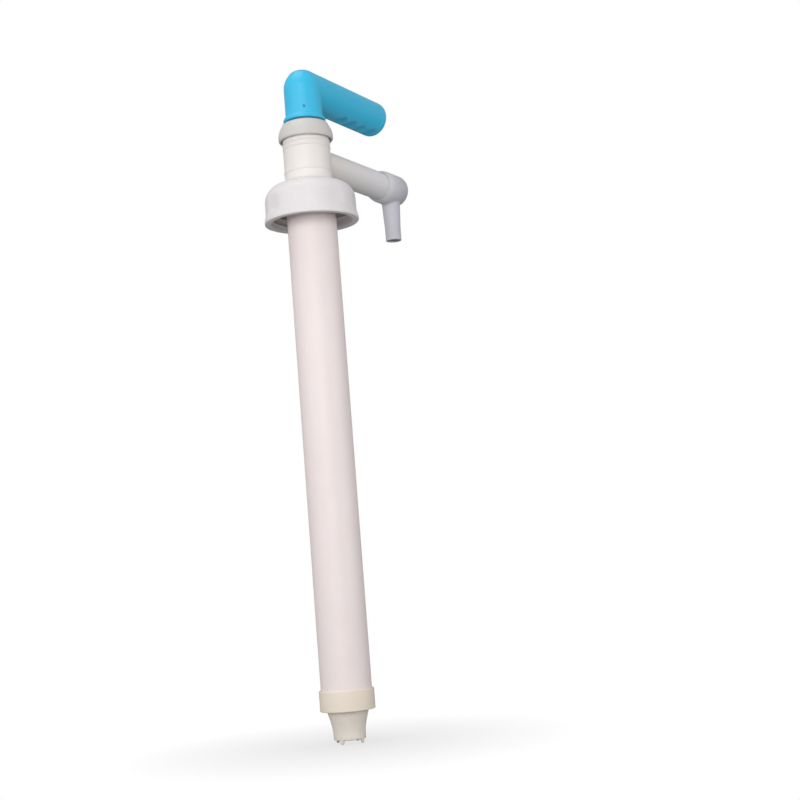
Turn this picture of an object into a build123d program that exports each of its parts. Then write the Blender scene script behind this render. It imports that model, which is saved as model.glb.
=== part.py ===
"""Piston-type hand transfer pump for a plastic can.

The pump hangs in the can's neck. Lifting the blue handle draws the piston up the barrel, which
raises the liquid to the tee and out of the spout; a ball in the piston and a ball in the foot
hold the column while the handle goes down again.

Units are millimetres. +Z runs up the pump's axis and +X along the spout. The origin is on the
axis, at the face of the can's neck that the gasket rests on. The handle is all the way down.
"""
from build123d import *
import math
import os

os.makedirs("parts", exist_ok=True)

# ------------------------------------------------------------------ driving sizes
# Barrel and the length that hangs in the can
BARREL_OD = 34.0
BARREL_WALL = 2.0
IMMERSED_LENGTH = 346.4       # neck face to the underside of the foot ring

# Neck flange, gasket and screw cap
GASKET_THICKNESS = 2.0
FLANGE_EDGE = 2.35            # thickness of the flange at its outer edge
FLANGE_SIDE_GAP = 1.4         # flange's edge to the crest of the cap's thread
HUB_WALL = 2.5                # sleeve that bonds the flange to the barrel
HUB_LENGTH = 8.0              # how far the sleeve reaches below the gasket's top face
HUB_CHAMFER = 1.0
CAP_OD = 62.6
CAP_WALL = 3.2
CAP_RIM_STEP = 1.15           # how far the rim stands out past the cap's side
CAP_SKIRT = 16.5              # neck face to the cap's lower rim
CAP_TOP_THICKNESS = 2.9
CAP_SHOULDER_RADIUS = 12.3    # limited by the width of the cap's top
CAP_TOP_FLAT = 1.0            # least width of the flat around the hole in the cap's top
CAP_RIM_HEIGHT = 1.8
CAP_RIM_FLARE = 4.7
CAP_FLATS = 8
CAP_FLAT_DEPTH = 0.6
CAP_RIM_ROUND = 0.7
THREAD_PITCH = 5.0
THREAD_DEPTH = 1.1
THREAD_BASE = 2.4
THREAD_CREST = 1.0
THREAD_ROOT = 0.3             # how deep the thread is rooted in the cap's wall

# Pump head
TEE_STEP = 0.7                # the tee's body is this much smaller in radius than the barrel
TEE_HEIGHT = 45.8             # neck face to the tee's top end
TEE_SPIGOT_WALL = 1.8
TEE_SPIGOT_LENGTH = 25.0
BEAD_HEIGHT = 0.3
BEAD_WIDTH = 1.2
BEAD_SINK = 0.5               # how deep a bead is rooted in the tee
LOW_BEAD = 5.2                # flange to the first bead
HIGH_BEADS = (2.8, 5.9)       # gland nut's foot down to the two upper beads
BRANCH_OD = 20.3
BRANCH_WALL = 2.3
BRANCH_HEIGHT = 28.5          # neck face to the branch's axis
ELBOW_WALL = 1.8              # sleeve's wall around the branch
BRANCH_TO_NOZZLE = 3.8        # branch's end to the nozzle's bore
ELBOW_LAP = 10.0              # length of branch inside the elbow's sleeve
ELBOW_END = 2.6               # end wall of the elbow
ELBOW_PAST_NOZZLE = 5.5       # nozzle's far side to the elbow's end
SPOUT_REACH = 112.3           # pump axis to the nozzle's axis
NOZZLE_BORE = 9.0
NOZZLE_WALL = 1.4             # at the tip
NOZZLE_TAPER = 0.9            # how much larger in radius the nozzle is at its top
NOZZLE_DROP = 39.5            # branch axis to the nozzle's mouth
NOZZLE_LAND = 8.5             # straight length at the tip that takes a hose
ELBOW_MOUTH_TAPER = 4.0       # length of the taper where the sleeve meets the branch
ELBOW_MOUTH_WALL = 0.6
ELBOW_END_ROUND = 7.0
RING_SIDE_GAP = 0.2           # sealing ring to the sides of its groove
SPOUT_RING_SECTION = 1.6

# Gland around the rod
GLAND_WALL = 2.6              # gland nut's wall outside the tee
GLAND_TAPER = 3.3             # how much smaller in radius the nut's top face is
GLAND_SKIRT = 4.7             # how far the nut reaches down over the tee
GLAND_TOP_THICKNESS = 2.5
GLAND_BOSS_WALL = 2.3         # raised ring around the rod on the nut's top
GLAND_BOSS_HEIGHT = 1.2
GLAND_BULGE = 0.55            # height of the nut's widest line as a share of its height
GLAND_TOP_ROUND = 0.9
GLAND_BULGE_ROUND = 4.0
GLAND_FOOT_ROUND = 1.2
GLAND_RELIEF = 2.5            # height of the wider mouth below the nut's thread
BUSH_LENGTH = 10.0
SEAL_WIDTH = 2.3
SEAL_HEIGHT = 4.0
SEAL_FLOOR = 0.6              # bush below the seal

# Rod, handle and its pin
ROD_OD = 20.0
ROD_WALL = 2.0
HANDLE_LEG_WALL = 2.9         # leg's wall around the rod
HANDLE_WALL = 3.0
HANDLE_GAP = 0.4              # handle to gland with the piston down
HANDLE_SOCKET = 11.0          # depth of the leg's socket for the rod
HANDLE_REACH = 93.8           # pump axis to the arm's open end
HANDLE_TOP_RADIUS = 8.5       # rounding of the leg's closed top
HANDLE_WEB = 3.7              # floor between the rod's socket and the hollow arm
COLLAR_STEP = 1.8             # how far the collar stands out past the leg
COLLAR_HEIGHT = 4.2
COLLAR_BAND = 1.8
FINGER_GROOVES = 4
FINGER_PITCH = 13.0
FINGER_DEPTH = 1.8
FINGER_RADIUS = 9.0
FINGER_END = 8.0              # open end of the arm to the first groove's middle
PIN_DIAMETER = 1.8
PIN_HEIGHT = 8.0              # underside of the handle to the pin
PIN_TURN = 33.0               # angle of the pin from the arm, in degrees
PIN_SUNK = 0.4                # pin's ends below the leg's surface
COLLAR_ROOT = 0.2             # how deep the collar is rooted in the leg

# Piston
PISTON_REST_GAP = 1.5         # piston to foot valve with the handle down
PISTON_FLANGE = 3.0
PISTON_SIDE_GAP = 1.4         # piston's flanges to the barrel's bore
CUP_HEIGHT = 9.0
CUP_LIP = 1.3
CUP_FLOOR = 0.35              # thickness of the cup's floor as a share of its height
CUP_SKIN = 0.5                # cup's outer skirt to its wiping lip
PISTON_PASSAGE = 1.8          # room around the ball in its chamber
PISTON_WALL = 2.6
PISTON_SEAT_DEPTH = 7.0
PISTON_BALL = 11.2
BALL_LIFT = 4.3               # both check balls
SEAT_HOLE = 0.63              # seat's hole as a share of its ball
SEAT_MARGIN = 0.8             # seat's rim past the line where the ball touches
WINDOWS = 4
WINDOW_WIDTH = 7.0
WINDOW_HEIGHT = 6.5
PISTON_NECK = 14.0            # top of the windows to the foot of the rod
ROD_PLUG_LENGTH = 14.0

# Foot valve
FOOT_RING_WALL = 1.35
FOOT_RING_HEIGHT = 13.5
FOOT_RING_LIP = 2.0
FOOT_RING_ROUND = 0.5
FOOT_FLANGE = 2.5
FOOT_GASKET = 1.0
FOOT_SPIGOT = 10.5
FUNNEL_STEP = 1.05            # funnel's top end inside the barrel's bore radius
FUNNEL_TAPER = 11.5
FUNNEL_LENGTH = 19.0
FUNNEL_WALL = 1.7
FUNNEL_WAIST_ROUND = 6.0
FUNNEL_MOUTH_ROUND = 0.8
FOOT_SEAT_FLOOR = 2.0         # thickness of the floor that carries the ball's seat
FOOT_BALL = 14.0
FOOT_PASSAGE = 2.0            # room around the ball in the funnel
FOOT_SEAT_HEIGHT = 6.9        # funnel's mouth to the floor of the ball's seat
CAGE_THICKNESS = 2.0
CAGE_STEP = 1.2               # ledge that the cage rests on
CAGE_RIM = 1.6
CAGE_BAR = 2.2
NUBS = 4
NUB_DIAMETER = 2.8
NUB_HEIGHT = 2.5

# Clearances between pieces
TURN_GAP = 0.15               # faces that turn or slide on each other
RUNNING_GAP = 0.06            # rod in its bush, elbow on its branch, cup on its piston
BARREL_GAP = 0.08             # cup lip in the barrel
LOOSE_GAP = 0.3               # pieces that only pass each other
SEAT_GAP = 0.03               # ball to its seat, and a sealing ring to its groove's floor
ENTRY_GAP = 0.1               # pieces that are pushed into each other while they are put together

# ------------------------------------------------------------------ derived sizes
barrel_r = BARREL_OD / 2
bore_r = barrel_r - BARREL_WALL
rod_r = ROD_OD / 2
rod_bore_r = rod_r - ROD_WALL

hub_r = barrel_r + HUB_WALL
cap_r = CAP_OD / 2
cap_inner_r = cap_r - CAP_WALL
cap_hole_r = barrel_r - TEE_STEP + LOOSE_GAP
cap_shoulder_r = min(CAP_SHOULDER_RADIUS, cap_r - cap_hole_r - CAP_TOP_FLAT)
cap_dome_r = cap_shoulder_r - CAP_WALL
cap_dome_middle = cap_inner_r - cap_dome_r
flange_r = cap_inner_r - THREAD_DEPTH - FLANGE_SIDE_GAP
flange_edge_top = GASKET_THICKNESS + FLANGE_EDGE
dome_drop = cap_dome_r - math.sqrt(cap_dome_r ** 2 - (flange_r - cap_dome_middle) ** 2)
cap_seat = flange_edge_top + LOOSE_GAP + dome_drop
flange_top = cap_seat - TURN_GAP
cap_top = cap_seat + CAP_TOP_THICKNESS

tee_r = barrel_r - TEE_STEP
tee_bore_r = bore_r - TEE_SPIGOT_WALL
branch_r = BRANCH_OD / 2
branch_bore_r = branch_r - BRANCH_WALL
elbow_bore_r = branch_r + RUNNING_GAP
elbow_r = elbow_bore_r + ELBOW_WALL
nozzle_bore_r = NOZZLE_BORE / 2
nozzle_tip_r = nozzle_bore_r + NOZZLE_WALL
nozzle_top_r = nozzle_tip_r + NOZZLE_TAPER
branch_end = SPOUT_REACH - nozzle_bore_r - BRANCH_TO_NOZZLE
sleeve_start = branch_end - ELBOW_LAP
elbow_end = SPOUT_REACH + nozzle_top_r + ELBOW_PAST_NOZZLE
nozzle_tip = BRANCH_HEIGHT - NOZZLE_DROP

bush_top = TEE_HEIGHT + SEAL_FLOOR + SEAL_HEIGHT
gland_r = tee_r + GLAND_WALL
gland_shoulder = bush_top + LOOSE_GAP + GLAND_TOP_THICKNESS
gland_top = gland_shoulder + GLAND_BOSS_HEIGHT
gland_foot = TEE_HEIGHT - GLAND_SKIRT
handle_foot = gland_top + HANDLE_GAP
handle_r = rod_r + HANDLE_LEG_WALL
arm_bore_r = handle_r - HANDLE_WALL
rod_top = handle_foot + HANDLE_SOCKET
arm_height = rod_top + HANDLE_WEB + arm_bore_r
pin_height = handle_foot + PIN_HEIGHT

foot_ring_bottom = -IMMERSED_LENGTH
foot_flange_bottom = foot_ring_bottom + FOOT_RING_LIP
foot_flange_top = foot_flange_bottom + FOOT_FLANGE
barrel_bottom = foot_flange_top + FOOT_GASKET
foot_top = foot_flange_top + FOOT_SPIGOT
funnel_top = foot_ring_bottom
funnel_bottom = funnel_top - FUNNEL_LENGTH
funnel_top_r = bore_r - FUNNEL_STEP
inlet_r = FOOT_BALL / 2 + FOOT_PASSAGE
funnel_tip_r = inlet_r + FUNNEL_WALL

piston_bottom = foot_top + PISTON_REST_GAP
cup_bottom = piston_bottom + PISTON_FLANGE
cup_top = cup_bottom + CUP_HEIGHT
collar_top = cup_top + PISTON_FLANGE
piston_flange_r = bore_r - PISTON_SIDE_GAP
chamber_r = PISTON_BALL / 2 + PISTON_PASSAGE
core_r = chamber_r + PISTON_WALL
rod_foot = collar_top + WINDOW_HEIGHT + PISTON_NECK


# ------------------------------------------------------------------ helpers
def disc(radius, low, high):
    """Solid cylinder on the pump's axis between two heights."""
    return Pos(0, 0, low) * Cylinder(radius, high - low, align=(Align.CENTER, Align.CENTER, Align.MIN))


def ring(outer, inner, low, high):
    """Plain ring on the pump's axis."""
    return disc(outer, low, high) - disc(inner, low, high)


def rod_along_x(radius, start, end, height):
    """Solid cylinder along X at a height above the neck face."""
    body = Cylinder(radius, end - start, align=(Align.CENTER, Align.CENTER, Align.MIN))
    return Pos(start, 0, height) * Rot(0, 90, 0) * body


def turned(outline, rounds=()):
    """Turn an outline of (radius, height) points about the axis, with some corners rounded."""
    face = make_face(Polyline(*outline, close=True))
    for (radius, height), fillet_radius in rounds:
        corner = face.vertices().sort_by_distance((radius, height, 0))[0]
        face = fillet(corner, fillet_radius)
    return revolve(Plane.XZ * face, Axis.Z)


def around(count, make, start=0.0):
    """Copies of one piece, evenly spaced about the axis."""
    step = 360.0 / count
    return [Rot(0, 0, start + i * step) * make for i in range(count)]


def seat_height(ball_r, hole_r):
    """Height of a 45 degree seat that reaches just past where the ball touches it."""
    return ball_r * math.sin(math.radians(45)) + SEAT_MARGIN - hole_r


def seat_cone(ball_r, hole_r, floor):
    """Room above a 45 degree seat, from its hole at the floor height up to its rim."""
    height = seat_height(ball_r, hole_r)
    room = Cone(hole_r, hole_r + height, height, align=(Align.CENTER, Align.CENTER, Align.MIN))
    return Pos(0, 0, floor) * room


def ball_on_seat(ball_r, hole_r, floor):
    """Ball resting a hair above a 45 degree seat whose hole starts at the floor height."""
    middle = floor - hole_r + (ball_r + SEAT_GAP) * math.sqrt(2)
    return middle, Pos(0, 0, middle) * Sphere(ball_r)


# ------------------------------------------------------------------ barrel and neck
def barrel_tube():
    return ring(barrel_r, bore_r, barrel_bottom, flange_top)


def neck_flange():
    """Flange bonded to the barrel's top end. Its upper side slopes to follow the cap's dome."""
    hub_foot = GASKET_THICKNESS - HUB_LENGTH
    slope_start_r = min(hub_r, cap_dome_middle)
    return turned([(barrel_r, flange_top), (slope_start_r, flange_top), (flange_r, flange_edge_top),
                   (flange_r, GASKET_THICKNESS), (hub_r, GASKET_THICKNESS), (hub_r, hub_foot + HUB_CHAMFER),
                   (hub_r - HUB_CHAMFER, hub_foot), (barrel_r, hub_foot)])


def neck_gasket():
    return ring(flange_r, hub_r + LOOSE_GAP, 0, GASKET_THICKNESS)


def cap_thread():
    """Helical ridge inside the cap, which grips the can's neck."""
    low = -CAP_SKIRT + THREAD_BASE
    high = cap_seat - cap_dome_r - THREAD_BASE
    path = Helix(THREAD_PITCH, high - low, cap_inner_r)
    section = Polyline(
        (THREAD_ROOT, -THREAD_BASE / 2), (THREAD_ROOT, THREAD_BASE / 2),
        (-THREAD_DEPTH, THREAD_CREST / 2), (-THREAD_DEPTH, -THREAD_CREST / 2), close=True)
    start = Plane(origin=path @ 0, x_dir=(1, 0, 0), z_dir=path % 0)
    ridge = sweep(start * make_face(section), path=path, is_frenet=True)
    return Pos(0, 0, low) * ridge


def screw_cap():
    rim_r = cap_r + CAP_RIM_STEP
    threaded = cap_thread() + turned(
        [(cap_hole_r, cap_seat), (cap_hole_r, cap_top), (cap_r, cap_top),
         (cap_r, -CAP_SKIRT + CAP_RIM_HEIGHT + CAP_RIM_FLARE), (rim_r, -CAP_SKIRT + CAP_RIM_HEIGHT),
         (rim_r, -CAP_SKIRT), (cap_inner_r, -CAP_SKIRT), (cap_inner_r, cap_seat)],
        rounds=[((cap_r, cap_top), cap_shoulder_r), ((cap_inner_r, cap_seat), cap_dome_r),
                ((rim_r, -CAP_SKIRT), CAP_RIM_ROUND), ((rim_r, -CAP_SKIRT + CAP_RIM_HEIGHT), CAP_RIM_ROUND)])
    flat_low = -CAP_SKIRT + CAP_RIM_HEIGHT + CAP_RIM_FLARE
    cutter = Pos(cap_r - CAP_FLAT_DEPTH, 0, flat_low) * Box(
        cap_r, CAP_OD, cap_r, align=(Align.MIN, Align.CENTER, Align.MIN))
    return threaded - around(CAP_FLATS, cutter, start=180.0 / CAP_FLATS)


# ------------------------------------------------------------------ pump head
def bead(height):
    """Fine moulded ring around the tee's body."""
    crest = tee_r + BEAD_HEIGHT
    root = tee_r - BEAD_SINK
    return turned([(root, height - BEAD_WIDTH / 2), (tee_r, height - BEAD_WIDTH / 2),
                   (crest, height - BEAD_WIDTH / 5), (crest, height + BEAD_WIDTH / 5),
                   (tee_r, height + BEAD_WIDTH / 2), (root, height + BEAD_WIDTH / 2)])


def spout_ring_place():
    """Middle of the spout's sealing ring: distance along the spout, and radius about it."""
    return sleeve_start + ELBOW_LAP / 2, elbow_bore_r - RUNNING_GAP - SPOUT_RING_SECTION / 2


def head_tee():
    spigot_foot = flange_top - TEE_SPIGOT_LENGTH
    body = disc(tee_r, flange_top, TEE_HEIGHT) + disc(bore_r, spigot_foot, flange_top)
    low_beads = [flange_top + LOW_BEAD, BRANCH_HEIGHT - branch_r]
    high_beads = [gland_foot - drop for drop in HIGH_BEADS]
    for height in low_beads + high_beads:
        body = body + bead(height)
    body = body + rod_along_x(branch_r, 0, branch_end, BRANCH_HEIGHT)
    body = body - disc(tee_bore_r, spigot_foot, TEE_HEIGHT)
    body = body - rod_along_x(branch_bore_r, 0, branch_end, BRANCH_HEIGHT)
    place, middle_r = spout_ring_place()
    floor_r = middle_r - SPOUT_RING_SECTION / 2 - SEAT_GAP
    half = SPOUT_RING_SECTION / 2 + RING_SIDE_GAP
    groove = rod_along_x(branch_r * 2, place - half, place + half, BRANCH_HEIGHT)
    groove = groove - rod_along_x(floor_r, place - half, place + half, BRANCH_HEIGHT)
    return body - groove


def spout_ring():
    place, middle_r = spout_ring_place()
    return Pos(place, 0, BRANCH_HEIGHT) * Rot(0, 90, 0) * Torus(middle_r, SPOUT_RING_SECTION / 2)


def spout_elbow():
    mouth_r = elbow_bore_r + ELBOW_MOUTH_WALL
    length = elbow_end - sleeve_start
    sleeve = turned([(0, 0), (mouth_r, 0), (elbow_r, ELBOW_MOUTH_TAPER), (elbow_r, length), (0, length)],
                    rounds=[((elbow_r, length), ELBOW_END_ROUND)])
    sleeve = Pos(sleeve_start, 0, BRANCH_HEIGHT) * Rot(0, 90, 0) * sleeve
    land_top = nozzle_tip + NOZZLE_LAND
    nozzle_root = BRANCH_HEIGHT - elbow_r
    nozzle = turned([(0, nozzle_tip), (nozzle_tip_r, nozzle_tip), (nozzle_tip_r, land_top),
                     (nozzle_top_r, nozzle_root), (nozzle_top_r, BRANCH_HEIGHT), (0, BRANCH_HEIGHT)])
    elbow = sleeve + Pos(SPOUT_REACH, 0, 0) * nozzle
    elbow = elbow - rod_along_x(elbow_bore_r, sleeve_start, branch_end + LOOSE_GAP, BRANCH_HEIGHT)
    elbow = elbow - rod_along_x(branch_bore_r, branch_end, elbow_end - ELBOW_END, BRANCH_HEIGHT)
    return elbow - Pos(SPOUT_REACH, 0, 0) * disc(nozzle_bore_r, nozzle_tip, BRANCH_HEIGHT)


# ------------------------------------------------------------------ gland around the rod
def gland_nut():
    thread_r = tee_r
    hole_r = rod_r + LOOSE_GAP
    relief_r = (gland_r + thread_r) / 2
    bulge = gland_foot + (gland_shoulder - gland_foot) * GLAND_BULGE
    boss_r = rod_r + GLAND_BOSS_WALL
    ceiling = bush_top + LOOSE_GAP
    return turned(
        [(hole_r, gland_top), (boss_r, gland_top), (boss_r, gland_shoulder),
         (gland_r - GLAND_TAPER, gland_shoulder), (gland_r, bulge),
         (gland_r, gland_foot), (relief_r, gland_foot), (relief_r, gland_foot + GLAND_RELIEF),
         (thread_r, gland_foot + GLAND_RELIEF), (thread_r, ceiling), (hole_r, ceiling)],
        rounds=[((gland_r - GLAND_TAPER, gland_shoulder), GLAND_TOP_ROUND),
                ((gland_r, bulge), GLAND_BULGE_ROUND), ((gland_r, gland_foot), GLAND_FOOT_ROUND)])


def rod_guide_bush():
    barrel_part = disc(tee_bore_r, TEE_HEIGHT - BUSH_LENGTH, TEE_HEIGHT)
    bush = barrel_part + disc(tee_r - LOOSE_GAP, TEE_HEIGHT, bush_top)
    bush = bush - disc(rod_r + RUNNING_GAP, TEE_HEIGHT - BUSH_LENGTH, bush_top)
    return bush - disc(rod_r + RUNNING_GAP + SEAL_WIDTH, bush_top - SEAL_HEIGHT, bush_top)


def rod_seal():
    """U-section lip seal, open towards the liquid below."""
    inner = rod_r + RUNNING_GAP
    outer = inner + SEAL_WIDTH
    low = bush_top - SEAL_HEIGHT
    lip = SEAL_WIDTH / 3.5
    return turned([(inner, low), (inner, bush_top), (outer, bush_top), (outer, low), (outer - lip, low),
                   (outer - lip * 1.3, low + SEAL_HEIGHT / 2), (inner + lip * 1.3, low + SEAL_HEIGHT / 2),
                   (inner + lip, low)])


# ------------------------------------------------------------------ rod and handle
def cross_pin(radius, length):
    """Cylinder across the rod at the handle pin's place."""
    pin = Cylinder(radius, length)
    return Pos(0, 0, pin_height) * Rot(0, 0, PIN_TURN) * Rot(0, 90, 0) * pin


def piston_rod():
    return ring(rod_r, rod_bore_r, rod_foot, rod_top) - cross_pin(PIN_DIAMETER / 2, handle_r * 2)


def handle_pin():
    return cross_pin(PIN_DIAMETER / 2, handle_r * 2 - PIN_SUNK * 2)


def handle():
    """Angled pull handle: an upright leg on the rod and a hollow arm with grooves for the fingers."""
    leg_top = arm_height + handle_r
    leg = turned([(0, handle_foot), (handle_r, handle_foot), (handle_r, leg_top), (0, leg_top)],
                 rounds=[((handle_r, leg_top), HANDLE_TOP_RADIUS)])
    grip = leg + rod_along_x(handle_r, 0, HANDLE_REACH, arm_height)
    collar_r = handle_r + COLLAR_STEP
    collar = turned([(0, handle_foot), (collar_r, handle_foot), (collar_r, handle_foot + COLLAR_BAND),
                     (handle_r - COLLAR_ROOT, handle_foot + COLLAR_HEIGHT), (0, handle_foot + COLLAR_HEIGHT)])
    grip = grip + collar
    grip = grip - rod_along_x(arm_bore_r, 0, HANDLE_REACH, arm_height)
    grip = grip - disc(rod_r, handle_foot, rod_top)
    groove_height = arm_height - handle_r - FINGER_RADIUS + FINGER_DEPTH
    for i in range(FINGER_GROOVES):
        place = HANDLE_REACH - FINGER_END - i * FINGER_PITCH
        cutter = Pos(place, 0, groove_height) * Rot(90, 0, 0) * Cylinder(FINGER_RADIUS, handle_r * 2)
        grip = grip - cutter
    return grip - cross_pin(PIN_DIAMETER / 2, handle_r * 4)


# ------------------------------------------------------------------ piston
piston_hole_r = PISTON_BALL / 2 * SEAT_HOLE
piston_seat_floor = cup_bottom + PISTON_SEAT_DEPTH - seat_height(PISTON_BALL / 2, piston_hole_r)
piston_ball_middle, piston_ball_solid = ball_on_seat(PISTON_BALL / 2, piston_hole_r, piston_seat_floor)
chamber_top = piston_ball_middle + PISTON_BALL / 2 + BALL_LIFT + LOOSE_GAP


def piston_body():
    body = disc(core_r, cup_bottom, rod_foot) + disc(piston_flange_r, cup_top, collar_top)
    body = body + disc(rod_bore_r, rod_foot, rod_foot + ROD_PLUG_LENGTH)
    body = body - disc(chamber_r, cup_bottom, chamber_top)
    window = Pos(0, 0, collar_top) * Box(core_r * 2, WINDOW_WIDTH, WINDOW_HEIGHT,
                                         align=(Align.MIN, Align.CENTER, Align.MIN))
    return body - around(WINDOWS, window)


def piston_seat_nut():
    """Nut that holds the cup on the piston and carries the ball's seat."""
    nut = disc(piston_flange_r, piston_bottom, cup_bottom)
    nut = nut + disc(chamber_r, cup_bottom, cup_bottom + PISTON_SEAT_DEPTH)
    nut = nut - disc(piston_hole_r, piston_bottom, cup_bottom + PISTON_SEAT_DEPTH)
    return nut - seat_cone(PISTON_BALL / 2, piston_hole_r, piston_seat_floor)


def piston_cup():
    """Cup washer whose lip faces up and wipes the barrel."""
    inner = core_r + RUNNING_GAP
    outer = bore_r - BARREL_GAP
    low = cup_bottom + TURN_GAP
    high = cup_top - TURN_GAP
    floor = low + CUP_HEIGHT * CUP_FLOOR
    skirt = outer - CUP_SKIN
    return turned([(inner, low), (inner, high), (inner + CUP_LIP, high), (inner + CUP_LIP, floor),
                   (outer - CUP_LIP, floor), (outer - CUP_LIP, high), (outer, high),
                   (skirt, floor), (skirt, low)])


# ------------------------------------------------------------------ foot valve
def foot_ring():
    sleeve = disc(barrel_r + FOOT_RING_WALL, foot_ring_bottom, foot_ring_bottom + FOOT_RING_HEIGHT)
    sleeve = fillet(sleeve.edges().filter_by(GeomType.CIRCLE), FOOT_RING_ROUND)
    sleeve = sleeve - disc(barrel_r, foot_flange_bottom, foot_ring_bottom + FOOT_RING_HEIGHT)
    return sleeve - disc(funnel_top_r + ENTRY_GAP, foot_ring_bottom, foot_flange_bottom)


foot_hole_r = FOOT_BALL / 2 * SEAT_HOLE
foot_seat_floor = funnel_bottom + FOOT_SEAT_HEIGHT
foot_ball_middle, foot_ball_solid = ball_on_seat(FOOT_BALL / 2, foot_hole_r, foot_seat_floor)
cage_bottom = foot_ball_middle + FOOT_BALL / 2 + BALL_LIFT + LOOSE_GAP
cage_r = funnel_top_r - FUNNEL_WALL
cage_step_r = cage_r - CAGE_STEP


def foot_valve_body():
    """Funnel below the barrel, with the flange and spigot that fix it there."""
    flange = barrel_r - ENTRY_GAP
    waist = funnel_top - FUNNEL_TAPER
    shell = turned([(0, foot_top), (bore_r, foot_top), (bore_r, foot_flange_top), (flange, foot_flange_top),
                    (flange, foot_flange_bottom), (funnel_top_r, foot_flange_bottom),
                    (funnel_top_r, funnel_top), (funnel_tip_r, waist), (funnel_tip_r, funnel_bottom),
                    (0, funnel_bottom)],
                   rounds=[((funnel_tip_r, waist), FUNNEL_WAIST_ROUND),
                           ((funnel_tip_r, funnel_bottom), FUNNEL_MOUTH_ROUND)])
    chamber_floor = foot_seat_floor + seat_height(FOOT_BALL / 2, foot_hole_r)
    chamber = turned([(0, chamber_floor), (inlet_r, chamber_floor), (inlet_r, waist),
                      (cage_step_r, funnel_top), (cage_step_r, cage_bottom), (cage_r, cage_bottom),
                      (cage_r, foot_top), (0, foot_top)])
    mouth = disc(inlet_r, funnel_bottom, foot_seat_floor - FOOT_SEAT_FLOOR)
    shell = shell - chamber - mouth - disc(foot_hole_r, funnel_bottom, chamber_floor)
    shell = shell - seat_cone(FOOT_BALL / 2, foot_hole_r, foot_seat_floor)
    nub_r = NUB_DIAMETER / 2
    nub = Pos(funnel_tip_r - nub_r, 0, funnel_bottom - NUB_HEIGHT + nub_r) * (
        Sphere(nub_r) + Cylinder(nub_r, NUB_HEIGHT, align=(Align.CENTER, Align.CENTER, Align.MIN)))
    for foot in around(NUBS, nub):
        shell = shell + (foot - disc(inlet_r, funnel_bottom, funnel_bottom + NUB_HEIGHT))
    return shell


def foot_gasket():
    return ring(barrel_r - ENTRY_GAP, bore_r, foot_flange_top, barrel_bottom)


def foot_ball_cage():
    """Ring with a cross that keeps the foot ball near its seat."""
    cage = ring(cage_r, cage_r - CAGE_RIM, cage_bottom, cage_bottom + CAGE_THICKNESS)
    bar = Pos(0, 0, cage_bottom) * Box(cage_r * 2 - CAGE_RIM, CAGE_BAR, CAGE_THICKNESS,
                                       align=(Align.CENTER, Align.CENTER, Align.MIN))
    return cage + bar + Rot(0, 0, 90) * bar


# ------------------------------------------------------------------ write every piece
pieces = {
    "barrel_tube": barrel_tube(),
    "head_tee": head_tee(),
    "neck_flange": neck_flange(),
    "neck_gasket": neck_gasket(),
    "screw_cap": screw_cap(),
    "gland_nut": gland_nut(),
    "rod_guide_bush": rod_guide_bush(),
    "rod_seal": rod_seal(),
    "spout_elbow": spout_elbow(),
    "spout_o_ring": spout_ring(),
    "piston_rod": piston_rod(),
    "handle": handle(),
    "handle_pin": handle_pin(),
    "piston_body": piston_body(),
    "piston_seat_nut": piston_seat_nut(),
    "piston_cup": piston_cup(),
    "piston_ball": piston_ball_solid,
    "foot_ring": foot_ring(),
    "foot_valve_body": foot_valve_body(),
    "foot_gasket": foot_gasket(),
    "foot_ball_cage": foot_ball_cage(),
    "foot_ball": foot_ball_solid,
}

for name, piece in pieces.items():
    export_step(piece, f"parts/{name}.step")

spigot_foot = flange_top - TEE_SPIGOT_LENGTH
print("stroke to the stop", spigot_foot - collar_top)
print("piston ball lift", chamber_top - piston_ball_middle - PISTON_BALL / 2)
print("foot ball lift", cage_bottom - foot_ball_middle - FOOT_BALL / 2)
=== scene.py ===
"""Looks of the can pump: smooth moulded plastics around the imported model.

Metres throughout. The pump's axis is Z, the spout and the handle's arm run along +X.
"""
import math
import bmesh
import bpy
from mathutils import Matrix, Vector


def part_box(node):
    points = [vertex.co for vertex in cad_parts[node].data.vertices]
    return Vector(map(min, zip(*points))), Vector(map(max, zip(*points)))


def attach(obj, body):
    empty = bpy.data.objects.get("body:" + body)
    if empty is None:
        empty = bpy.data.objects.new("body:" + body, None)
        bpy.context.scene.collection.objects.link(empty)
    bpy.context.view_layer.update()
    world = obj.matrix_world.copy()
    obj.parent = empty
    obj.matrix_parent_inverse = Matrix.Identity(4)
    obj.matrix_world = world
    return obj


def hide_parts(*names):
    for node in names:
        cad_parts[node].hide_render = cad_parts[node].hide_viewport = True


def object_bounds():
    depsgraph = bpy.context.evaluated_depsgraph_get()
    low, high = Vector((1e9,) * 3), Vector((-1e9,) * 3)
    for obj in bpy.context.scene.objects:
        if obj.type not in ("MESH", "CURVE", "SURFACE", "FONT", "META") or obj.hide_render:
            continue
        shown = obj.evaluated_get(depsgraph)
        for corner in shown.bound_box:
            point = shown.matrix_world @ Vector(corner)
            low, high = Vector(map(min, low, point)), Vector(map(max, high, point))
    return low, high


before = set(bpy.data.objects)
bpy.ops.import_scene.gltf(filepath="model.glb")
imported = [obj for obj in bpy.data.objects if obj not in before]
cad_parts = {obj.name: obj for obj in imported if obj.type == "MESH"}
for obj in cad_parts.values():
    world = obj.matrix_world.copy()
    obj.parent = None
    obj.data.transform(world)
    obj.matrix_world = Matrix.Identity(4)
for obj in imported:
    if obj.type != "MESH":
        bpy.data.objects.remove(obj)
cad_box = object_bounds()

MM = 0.001


# ---------------------------------------------------------------- places taken from the imported model's parts
def span(node):
    """Lowest and highest corner of a CAD node."""
    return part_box(node)


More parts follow.
